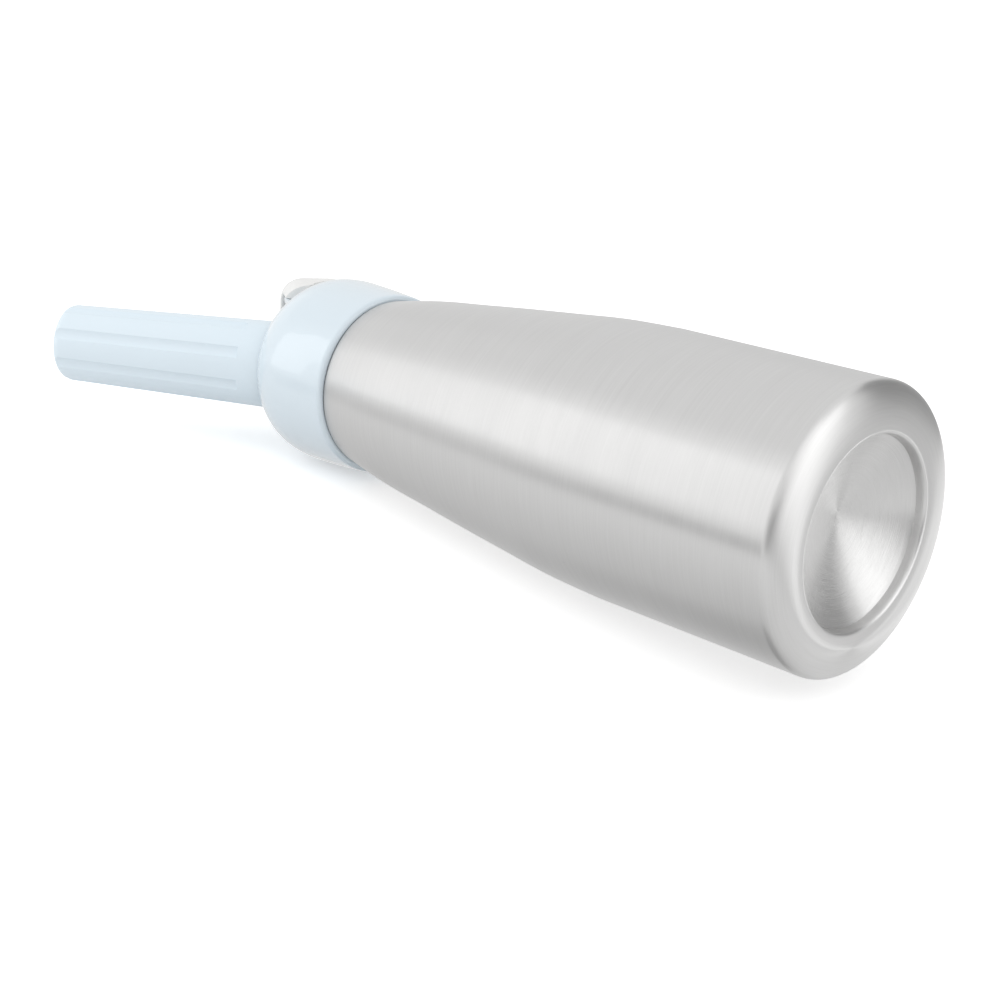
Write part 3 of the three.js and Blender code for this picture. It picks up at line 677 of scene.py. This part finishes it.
# VALVE
# A turned steel barrel pressed into the head's arm, with a flange outside and a rubber ring in its groove.
# The hollow stem slides in it: a poppet with a washer closes the barrel from inside, and the adaptor ends it.
valve_barrel = [
    (3.7, 1), (6, 1), (6, 29.15), (4.9, 29.15), (4.9, 30.85), (6, 30.85), (6, 46.3),
    (8.4, 46.3), (8.4, 48.8), (3.7, 48.8), (3.7, 1),
]
turned_steel("valve_barrel", "valve_body", valve_barrel, valve_steel, VALVE_FRAME, "head", 96)
seal(
    "barrel_ring", "valve_body_ring", inner=5.05, outer=6.15, low=29.45, high=30.55, edge=0.3,
    place=VALVE_FRAME, body="head",
)
seal(
    "poppet_washer", "valve_washer", inner=2.8, outer=6.3, low=-1.7, high=0.7, edge=0.35,
    place=VALVE_FRAME, body="stem",
)
seal(
    "stem_o_ring", "stem_ring", inner=2.85, outer=3.55, low=41.65, high=42.35, edge=0.2,
    place=VALVE_FRAME, body="stem",
)
seal(
    "tip_washer", "tip_seal", inner=2.1, outer=6.1, low=82.3, high=83.5, edge=0.3,
    place=VALVE_FRAME, body="tip",
)
stem_outline = [
    (0, -4.2), (6.6, -4.2), (6.6, -2.0), (2.5, -2.0), (2.5, 10), (3.4, 10), (3.4, 41.35), (2.7, 41.35),
    (2.7, 42.65), (3.4, 42.65), (3.4, 57), (1.8, 57), (1.8, 10), (1.1, 8.2), (1.1, 5), (0, 5),
]
stem = turned("stem_steel", stem_outline, 64)
round_edges(stem, 0.2)
across_stem = Matrix.Translation((0, 0, 6.1 * MM)) @ Matrix.Rotation(math.pi / 2, 4, "X")
worked(stem, rod("cross_hole", 0.9, -8, 8, across_stem, 24), "DIFFERENCE")
stem.data.transform(VALVE_FRAME)
dress(smoothed(stem, 40), valve_steel, "stem", "valve_stem")

adaptor_outline = [
    (3.7, 52.4), (6.4, 52.4), (6.4, 58.4), (8.6, 58.4), (8.6, 61.2), (6.4, 61.2), (6.4, 69.5), (5.8, 70.3),
    (5.8, 81.4), (5.2, 82), (2.1, 82), (2.1, 57.3), (3.7, 57.3), (3.7, 52.4),
]
adaptor = turned("adaptor_steel", adaptor_outline, 96)
round_edges(adaptor, 0.3)
adaptor_thread = thread(
    "adaptor_thread", radius=6.35, crest=0.7, pitch=1.5, start=71.2, turns=6, sides=56,
)
united(adaptor, adaptor_thread)
adaptor.data.transform(VALVE_FRAME)
dress(smoothed(adaptor, 40), valve_steel, "stem", "nozzle_adaptor")

# DECORATING TIP
# A cap of off-white plastic that screws onto the adaptor, with a ribbed grip and eight slots in its mouth.
# The slots are sawn into the narrow end, so the cream leaves as a star.
TIP_START = 71.0
TIP_END = 116.0
GRIP_END = TIP_START + 9.0
GRIP_RADIUS = 9.5
GRIP_RIBS = 12
GRIP_RIB_RADIUS = 1.1
SLOT_HALF = 0.75
SLOT_DEPTH = 4
SAW_REACH = 10
OFF_WHITE = (0.79, 0.788, 0.775, 1)
tip = turned("tip_moulding", [
    (6.7, TIP_START), (9.2, TIP_START), (GRIP_RADIUS, TIP_START + 0.3), (GRIP_RADIUS, GRIP_END - 0.3),
    (9.2, GRIP_END), (8.35, GRIP_END + 0.9), (8.2, GRIP_END + 1.4),
    *smooth_line([(8.15, 82), (8.0, 88), (7.7, 96.2), (6.8, 106), (5.7, 115.2)], 20),
    (5.55, 115.8), (5.3, TIP_END), (4.6, TIP_END), (4.35, 115.7), (6.4, 96.2), (6.7, 84), (6.7, TIP_START),
], turns=96)
for k in range(GRIP_RIBS):
    turn = Matrix.Rotation(math.tau * k / GRIP_RIBS, 4, "Z")
    rib_place = turn @ Matrix.Translation((GRIP_RADIUS * MM, 0, 0))
    rib = rod("rib", GRIP_RIB_RADIUS, TIP_START, GRIP_END, rib_place, 20)
    round_edges(rib, 0.35)
    worked(tip, rib, "UNION")
saw = [
    (-SAW_REACH, -SLOT_HALF), (SAW_REACH, -SLOT_HALF), (SAW_REACH, SLOT_HALF), (-SAW_REACH, SLOT_HALF),
]
for k in range(4):
    turn = Matrix.Rotation(math.pi * k / 4, 4, "Z")
    slot = plate("slot", saw, TIP_END - SLOT_DEPTH, TIP_END + SLOT_DEPTH, turn)
    worked(tip, slot, "DIFFERENCE")
tip.data.transform(VALVE_FRAME)
white_plastic = moulded_plastic("off_white_plastic", OFF_WHITE, 0.34, 0.2, 0.000003)
dress(smoothed(tip, 36), white_plastic, "tip", "decorating_tip")

# LEVER
# One off-white moulding: a yoke round the nozzle, two cheeks that hang on the pin, and a ribbed handle.
# Two pads under the yoke press on the adaptor's collar. The pin is a plain steel bar with bevelled ends.
HALF_WIDTH = 20.0
YOKE_BOTTOM = 64.0
YOKE_THICKNESS = 3.0
KNUCKLE = 5.5
CHEEK = 4.9
YOKE_CORNER = 8.0
YOKE_EDGE = 1.1
CHEEK_EDGE = 0.6
CHEEK_OVERLAP = 1.5
PIN_HALF = 18.0
PIN_RADIUS = 2
PIN_END = 0.4
OUTER_REACH = 15.0
HANDLE_HALF = 12.0
HANDLE_REACH = 61.9
HANDLE_TIP = 150.0
HANDLE_CORNER = 8
HANDLE_STEPS = 36
RIB_WIDTH = 2.4
NOZZLE_HOLE = 9
PAD_BOTTOM = 61.5
PAD_WIDTH = 3.3
PAD_HALF = 1
PAD_STARTS = (-10.6, 7.3)
TIP_CUT = (-82, -42)
HANDLE_SHARES = ((0, 0.8), (0.1, 0.88), (0.3, 0.955), (0.65, 0.975), (1, 1))


def bowed(start, middle, end, steps):
    """Points on a curve pulled towards its middle point."""
    points = []
    for k in range(steps + 1):
        t = k / steps
        points.append(tuple(
            (1 - t) ** 2 * a + 2 * t * (1 - t) * b + t * t * c for a, b, c in zip(start, middle, end)
        ))
    return points


inner = PIVOT[0] + KNUCKLE
bow_middle = (-OUTER_REACH / 2, -HALF_WIDTH)
bow_end = (YOKE_CORNER - OUTER_REACH / 2, -HALF_WIDTH)
half_yoke = [
    *bowed((-OUTER_REACH, -HANDLE_HALF), bow_middle, bow_end, 10),
    *quarter((inner - YOKE_CORNER, YOKE_CORNER - HALF_WIDTH), YOKE_CORNER, YOKE_CORNER, -90, 0, 14),
]
yoke_outline = half_yoke + [(x, -y) for x, y in half_yoke[::-1]]
lever = plate("lever_moulding", yoke_outline, YOKE_BOTTOM, YOKE_BOTTOM + YOKE_THICKNESS)
round_edges(lever, YOKE_EDGE, 4, 50)
cheek_top = YOKE_BOTTOM + CHEEK_OVERLAP
cheek = [(-KNUCKLE / 2, cheek_top), (PIVOT[0] - KNUCKLE, PIVOT[1])]
cheek += quarter(PIVOT, KNUCKLE, KNUCKLE, 180, 360, 18)[1:]
cheek += [(PIVOT[0] + KNUCKLE, cheek_top)]
for side in (-HALF_WIDTH, HALF_WIDTH - CHEEK):
    flap = plate("cheek", cheek, side, side + CHEEK, SIDE_VIEW)
    shape = plate("cheek_room", yoke_outline, PIVOT[1] - KNUCKLE - 2, YOKE_BOTTOM + YOKE_THICKNESS)
    worked(flap, shape, "INTERSECT")
    apply_modifier(flap, "WELD", merge_threshold=0.08 * MM)
    round_edges(flap, CHEEK_EDGE, 3, 50)
    worked(lever, flap, "UNION")
yoke_back = Vector((-OUTER_REACH, 0, YOKE_BOTTOM + YOKE_THICKNESS / 2))
start = arm_place @ (yoke_back * MM) / MM
fall = start.z - HANDLE_TIP
handle_points = [(-out * HANDLE_REACH, start.z - down * fall) for down, out in HANDLE_SHARES]
handle_points[0] = (start.x, start.z)
handle_curve = [Vector(p) for p in smooth_line(handle_points, HANDLE_STEPS)]


def band(inward, outward):
    """The handle's side view: a band that follows its curve."""
    near, far = [], []
    for k, point in enumerate(handle_curve):
        along = (handle_curve[min(k + 1, HANDLE_STEPS)] - handle_curve[max(k - 1, 0)]).normalized()
        aside = Vector((-along.y, along.x))
        near.append(tuple(point + aside * inward))
        far.append(tuple(point - aside * outward))
    return near + far[::-1]


lever.data.transform(arm_place)
grip = plate("grip", band(YOKE_THICKNESS / 2, YOKE_THICKNESS / 2), -HANDLE_HALF, HANDLE_HALF, SIDE_VIEW)
# What is cut off the handle's tip, seen from its flat side, so that the tip's two corners are round.
corner_level = HANDLE_TIP + HANDLE_CORNER
off_tip = [(-40, corner_level), (-HANDLE_HALF, corner_level)]
tip_corner = (HANDLE_CORNER - HANDLE_HALF, corner_level)
off_tip += quarter(tip_corner, HANDLE_CORNER, HANDLE_CORNER, 180, 270, 12)[1:]
off_tip += [(-x, y) for x, y in off_tip[::-1]]
off_tip += [(40, HANDLE_TIP - 40), (-40, HANDLE_TIP - 40)]
END_VIEW = Matrix(((0, 0, 1, 0), (1, 0, 0, 0), (0, 1, 0, 0), (0, 0, 0, 1)))
worked(grip, plate("corner_cut", off_tip, *TIP_CUT, END_VIEW), "DIFFERENCE")
round_edges(grip, 1.0, 4, 50)
worked(lever, grip, "UNION")
for side in (-HANDLE_HALF, HANDLE_HALF - RIB_WIDTH):
    rib = plate("rib", band(4.7, 1.0), side, side + RIB_WIDTH, SIDE_VIEW)
    worked(rib, plate("corner_cut", off_tip, *TIP_CUT, END_VIEW), "DIFFERENCE")
    round_edges(rib, 0.7, 3, 50)
    worked(lever, rib, "UNION")
worked(lever, rod("nozzle_hole", NOZZLE_HOLE, PIVOT[1], 105, arm_place, 96), "DIFFERENCE")
for side in PAD_STARTS:
    far_side = side + PAD_WIDTH
    foot = [(-PAD_HALF, side), (PAD_HALF, side), (PAD_HALF, far_side), (-PAD_HALF, far_side)]
    pad = plate("pad", foot, PAD_BOTTOM, YOKE_BOTTOM + YOKE_THICKNESS / 2)
    round_edges(pad, 0.3, 2, 50)
    pad.data.transform(arm_place)
    worked(lever, pad, "UNION")
hole_half = PIN_HALF + 0.1
worked(lever, rod("pin_hole", PIN_BORE, -hole_half, hole_half, arm_place @ pin_turn, 32), "DIFFERENCE")
lever.data.transform(UPRIGHT)
dress(smoothed(lever, 36), white_plastic, "lever", "lever")

pin_edge, pin_shaft = PIN_RADIUS - PIN_END, PIN_HALF - PIN_END
pin = turned("pivot_pin_steel", [
    (0, -PIN_HALF), (pin_edge, -PIN_HALF), (PIN_RADIUS, -pin_shaft),
    (PIN_RADIUS, pin_shaft), (pin_edge, PIN_HALF), (0, PIN_HALF),
], 40)
pin.data.transform(VALVE_FRAME @ pin_turn)
dress(smoothed(pin, 40), valve_steel, "head", "pivot_pin")

# LEVER SPRING
# A coil of steel wire round the pin, between the ears, whose last stretch stands up under the yoke.
# It pushes the lever back out after each squeeze.
WIRE = 0.45
COIL_RADIUS = 2.75
COIL_PITCH = 1.6
COIL_TURNS = 6
COIL_HALF = COIL_PITCH * COIL_TURNS / 2
LEG_LENGTH = 7.4
wire_round = quarter((COIL_RADIUS, -COIL_HALF), WIRE, WIRE, 0, 360, 10)
spring = wound("spring_wire", wire_round, COIL_PITCH, COIL_TURNS, 28)
leg = rod("spring_leg", WIRE, 0, LEG_LENGTH, Matrix.Translation(Vector((COIL_RADIUS, COIL_HALF, 0)) * MM), 10)
spring.data.transform(Matrix.Rotation(-math.pi / 2, 4, "X"))
united(spring, leg)
spring.data.transform(VALVE_FRAME @ Matrix.Translation(Vector((PIVOT[0], 0, PIVOT[1])) * MM))
dress(smoothed(spring, 60), valve_steel, "lever", "lever_spring")

# STUDIO
# A white floor under an even white sky, with three softboxes that light the plastic and aren't mirrored.
# What the metal and the coat mirror is the sky's own brightness by direction, in soft-edged panels.
# The camera stands where the photograph's did, off the base's end and above it, and looks down 20 degrees.
CAMERA_PLACE = Vector((360.08, 133.89, -228.27))
CAMERA_RIGHT = Vector((-0.71645, 0.05240, -0.69567))
CAMERA_UP = Vector((-0.16853, 0.95464, 0.24547))
CAMERA_BACK = Vector((0.67698, 0.29310, -0.67512))
SENSOR_WIDTH, FOCAL_LENGTH = 36, 61.97
SHIFT_ACROSS, SHIFT_UP = -0.00455, -0.00896
LAMPS_CENTRE = Vector((0, 0, 0.04))


def stage_light(name, azimuth, elevation, distance, width, height, brightness):
    """A flat softbox that faces the object, placed by its direction from there."""
    turn, rise = math.radians(azimuth), math.radians(elevation)
    towards = Vector((math.sin(turn) * math.cos(rise), -math.cos(turn) * math.cos(rise), math.sin(rise)))
    lamp = bpy.data.lights.new(name, "AREA")
    lamp.shape, lamp.size, lamp.size_y = "RECTANGLE", width, height
    lamp.energy = brightness * math.pi * width * height
    box = bpy.data.objects.new(name, lamp)
    bpy.context.scene.collection.objects.link(box)
    box.location = towards * distance + LAMPS_CENTRE
    box.rotation_mode = "QUATERNION"
    box.rotation_quaternion = towards.to_track_quat("Z", "Y")
    return box


LAMPS = (
    # name, azimuth, elevation, distance, width, height, brightness
    ("softbox_left", -50, 10, 1.3, 0.7, 1.0, 1.25),
    ("softbox_right", 120, 14, 1.3, 0.6, 1.0, 0.6),
    ("key_light", -30, 62, 1.4, 1.2, 1.2, 0.8),
)
for lamp_values in LAMPS:
    stage_light(*lamp_values).visible_glossy = False

world = bpy.data.worlds.new("studio")
bpy.context.scene.world = world
world.use_nodes = True
world.cycles.sampling_method = "NONE"
sky = Network(world.node_tree)
# The brightness that is mirrored from above, from just under the horizon and from straight below.
TOP_LEVEL, FLOOR_LEVEL, FLOOR_UNDER = 0.84, 0.86, 0.62
UNDER_RANGE = (-60.0, -18.0)
HORIZON, HORIZON_SOFTNESS = -8, 2
PANEL_FOOT_SOFTNESS = 1.5
DIFFUSE_LEVEL = 0.9
DEGREES = 180 / math.pi
PANELS = (
    # azimuth from and to, elevation from and to, softness, brightness
    (-200, 200, -95, -67, 5, 0.34),
    (-108, -6, -7, 41, 4, 1.0),
    (-44, -6, -7, 48, 4, 1.02),
    (-125, -66, 27, 60, 5, 0.84),
    (-108, -6, -17, -9, 2, 0.84),
    (-46, -6, -17, -9, 3, 0.46),
    (-57, -43, -3, 32, 0.3, 1.82),
    (28, 86, -10, 14, 6, 0.34),
    (58, 104, 26, 62, 8, 1.2),
    (92, 200, -50, -12, 4, 0.78),
    (153, 200, -27, -13, 4, 1.3),
    (-200, -165, -27, -13, 4, 1.3),
    (92, 99, -9, 42, 4, 1.05),
    (99, 129, -9, 42, 3, 1.57),
    (142, 200, -9, 46, 3, 0.3),
    (-200, -168, -9, 46, 4, 0.4),
)


def step_up(value, start, softness):
    """0 below the start and 1 above it, with a smooth step between."""
    return sky.node(
        "ShaderNodeMapRange", {"interpolation_type": "SMOOTHSTEP"},
        {0: value, 1: start - softness, 2: start + softness, 3: 0.0, 4: 1.0},
    )


eastward, northward, upward = sky.split(sky.node("ShaderNodeTexCoord", {}, {}, "Generated"))
azimuth = sky.node("ShaderNodeMath", {"operation": "ARCTAN2"}, {0: eastward, 1: 0.0 - northward}) * DEGREES
elevation = sky.node("ShaderNodeMath", {"operation": "ARCSINE"}, {0: upward}) * DEGREES
under_values = {0: elevation, 1: UNDER_RANGE[0], 2: UNDER_RANGE[1], 3: FLOOR_UNDER, 4: FLOOR_LEVEL}
under = sky.node("ShaderNodeMapRange", {}, under_values)
mirrored = under + (TOP_LEVEL - under) * step_up(elevation, HORIZON, HORIZON_SOFTNESS)
for west, east, foot, top, softness, brightness in PANELS:
    across = step_up(azimuth, west, softness) * (1.0 - step_up(azimuth, east, softness))
    up = step_up(elevation, foot, PANEL_FOOT_SOFTNESS) * (1.0 - step_up(elevation, top, softness))
    mirrored = mirrored + (brightness - mirrored) * (across * up)
to_metal = sky.node("ShaderNodeLightPath", {}, {}, "Is Glossy Ray")
to_camera = sky.node("ShaderNodeLightPath", {}, {}, "Is Camera Ray")
level = DIFFUSE_LEVEL + (mirrored - DIFFUSE_LEVEL) * to_metal
background = world.node_tree.nodes["Background"]
background.inputs["Color"].default_value = (1, 1, 1, 1)
sky.feed(background.inputs["Strength"], level + (1.0 - level) * to_camera)

FLOOR_SIZE = 8
FLOOR_WHITE = (0.92, 0.92, 0.92, 1)
FLOOR_LIFT = 0.4
bpy.ops.object.select_all(action="DESELECT")
bpy.ops.mesh.primitive_plane_add(size=FLOOR_SIZE)
floor = bpy.context.object
floor.name = "floor"
floor.visible_glossy = False
paper = bpy.data.materials.new("floor_paper")
paper.use_nodes = True
paper.node_tree.nodes.clear()
sheet = Network(paper.node_tree)
matte = sheet.node("ShaderNodeBsdfDiffuse", {}, {"Color": FLOOR_WHITE})
# The paper glows a little for the camera alone, so that the background is white and the shadow stays.
seen = sheet.node("ShaderNodeLightPath", {}, {}, "Is Camera Ray")
glow = sheet.node("ShaderNodeEmission", {}, {"Strength": seen * FLOOR_LIFT})
both = sheet.node("ShaderNodeAddShader", {}, {0: matte, 1: glow})
sheet.feed(paper.node_tree.nodes.new("ShaderNodeOutputMaterial").inputs["Surface"], both)
floor.data.materials.append(paper)

lens = bpy.data.cameras.new("camera")
camera = bpy.data.objects.new("camera", lens)
bpy.context.scene.collection.objects.link(camera)
lens.sensor_width, lens.lens = SENSOR_WIDTH, FOCAL_LENGTH
lens.shift_x, lens.shift_y = SHIFT_ACROSS, SHIFT_UP
lens.clip_end = 50
turn = UPRIGHT.to_3x3()
camera.matrix_world = Matrix.Translation(UPRIGHT @ (CAMERA_PLACE * MM)) @ Matrix(
    (turn @ CAMERA_RIGHT, turn @ CAMERA_UP, turn @ CAMERA_BACK)
).transposed().to_4x4()
bpy.context.scene.camera = camera
bpy.context.scene.view_settings.view_transform = "Standard"
